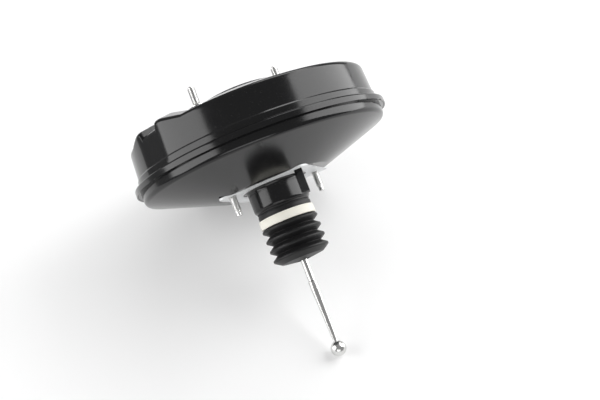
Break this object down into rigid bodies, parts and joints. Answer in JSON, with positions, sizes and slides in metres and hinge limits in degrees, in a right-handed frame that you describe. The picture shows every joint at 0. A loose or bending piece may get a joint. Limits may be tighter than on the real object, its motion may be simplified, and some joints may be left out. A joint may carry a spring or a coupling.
{
  "type": "vacuum brake booster",
  "caption": "Vacuum brake booster: round pressed steel housing with through studs, firewall plate, bellows boot and ball-ended input rod that works a sprung piston and control valve.",
  "frame": {"origin": "centre of the face of the plate that meets the firewall, on the housing's axis", "axes": "+Y forward along the axis to the master cylinder, X through both through bolts, +Z square to them, on the side of the notch in the firewall plate"},
  "size_m": [0.272, 0.3078, 0.272],
  "materials": {
    "black_paint": "gloss black",
    "zinc_plating": "pale zinc plating",
    "bare_steel": "satin",
    "stud_steel": "zinc plated",
    "rod_steel": "bright",
    "spring_steel": "dark",
    "black_rubber": "matt",
    "boot_rubber": "matt",
    "black_plastic": "matt",
    "white_plastic": "matt",
    "ivory_felt": "fibrous",
    "grey_foam": "open foam",
    "aluminium_alloy": "turned"
  },
  "bodies": {
    "housing": {"front_shell": "black_paint", "rear_shell": "black_paint", "locating_key": "black_plastic", "firewall_plate": "zinc_plating", "reinforcement_plate": "bare_steel", "through_bolt_left": "stud_steel", "through_bolt_right": "stud_steel", "bolt_seal_front_left": "black_rubber", "bolt_seal_front_right": "black_rubber", "bolt_seal_rear_left": "black_rubber", "bolt_seal_rear_right": "black_rubber", "stud_collar_left": "stud_steel", "stud_collar_right": "stud_steel", "vacuum_grommet": "black_rubber", "guide_bush": "white_plastic", "neck_seal": "black_rubber", "seal_retainer": "white_plastic", "felt_ring": "ivory_felt", "boot": "boot_rubber"},
    "piston": {"valve_body": "black_plastic", "stop_key": "black_plastic", "support_plate": "bare_steel", "diaphragm": "black_rubber", "slide_seal_left": "black_rubber", "slide_seal_right": "black_rubber", "reaction_disc": "black_rubber", "output_rod": "stud_steel", "output_rod_cap": "bare_steel", "control_valve": "black_rubber", "valve_cup": "bare_steel", "air_filter": "grey_foam", "return_spring": "spring_steel", "valve_spring": "spring_steel", "rod_spring": "spring_steel"},
    "plunger": {"plunger": "aluminium_alloy"},
    "input_rod": {"input_rod": "rod_steel", "spring_washer": "bare_steel"}
  },
  "joints": [
    {"name": "piston_stroke", "type": "slide", "parent": "housing", "child": "piston", "axis": [0, 1, 0], "range_m": [0, 0.03], "stiffness_N_per_m": 5000, "springref_m": -0.02, "deforming": ["boot", "diaphragm", "return_spring"]},
    {"name": "plunger_travel", "type": "slide", "parent": "piston", "child": "plunger", "axis": [0, 1, 0], "range_m": [0, 0.0015], "stiffness_N_per_m": 1000, "springref_m": -0.02, "deforming": ["rod_spring"]},
    {"name": "rod_swing", "type": "hinge", "parent": "plunger", "child": "input_rod", "pos_m": [0, -0.002, 0], "axis": [1, 0, 0], "range_deg": [-2, 2], "stiffness_Nm_per_rad": 15}
  ]
}
